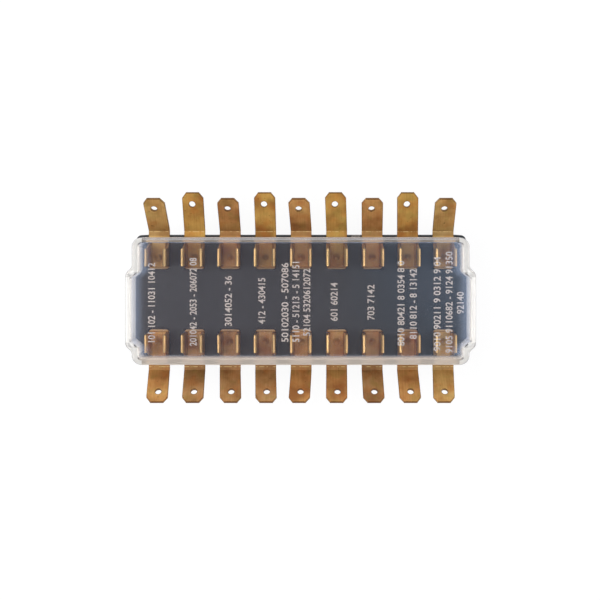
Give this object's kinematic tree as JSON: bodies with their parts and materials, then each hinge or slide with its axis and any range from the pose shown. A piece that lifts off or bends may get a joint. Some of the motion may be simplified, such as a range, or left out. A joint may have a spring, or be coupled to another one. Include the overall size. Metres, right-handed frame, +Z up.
{
  "type": "glass tube fuse box",
  "caption": "Low black fuse base with facing rows of brass fuse clips, bent-up flat tabs along both long sides and a clip-on translucent cover.",
  "frame": {"origin": "middle of the flat underside of the base, half way between its two screw holes", "axes": "+X along the row of ways, -Y towards the front terminals, +Z up through the cover"},
  "size_m": [0.103, 0.0623, 0.0204],
  "materials": {
    "black_moulding": "satin",
    "clear_moulding": "milky translucent, glossy",
    "terminal_brass": "tarnished"
  },
  "bodies": {
    "box": {"base": "black_moulding", "terminal_back_1": "terminal_brass", "terminal_back_2": "terminal_brass", "terminal_back_3": "terminal_brass", "terminal_back_4": "terminal_brass", "terminal_back_5": "terminal_brass", "terminal_back_6": "terminal_brass", "terminal_back_7": "terminal_brass", "terminal_back_8": "terminal_brass", "terminal_back_9": "terminal_brass", "terminal_front_1": "terminal_brass", "terminal_front_2": "terminal_brass", "terminal_front_3": "terminal_brass", "terminal_front_4": "terminal_brass", "terminal_front_5": "terminal_brass", "terminal_front_6": "terminal_brass", "terminal_front_7": "terminal_brass", "terminal_front_8": "terminal_brass", "terminal_front_9": "terminal_brass"},
    "lid": {"cover": "clear_moulding"}
  },
  "joints": [
    {"name": "cover_lift", "type": "slide", "parent": "box", "child": "lid", "axis": [0, 0, 1], "range_m": [0, 0.03]}
  ]
}
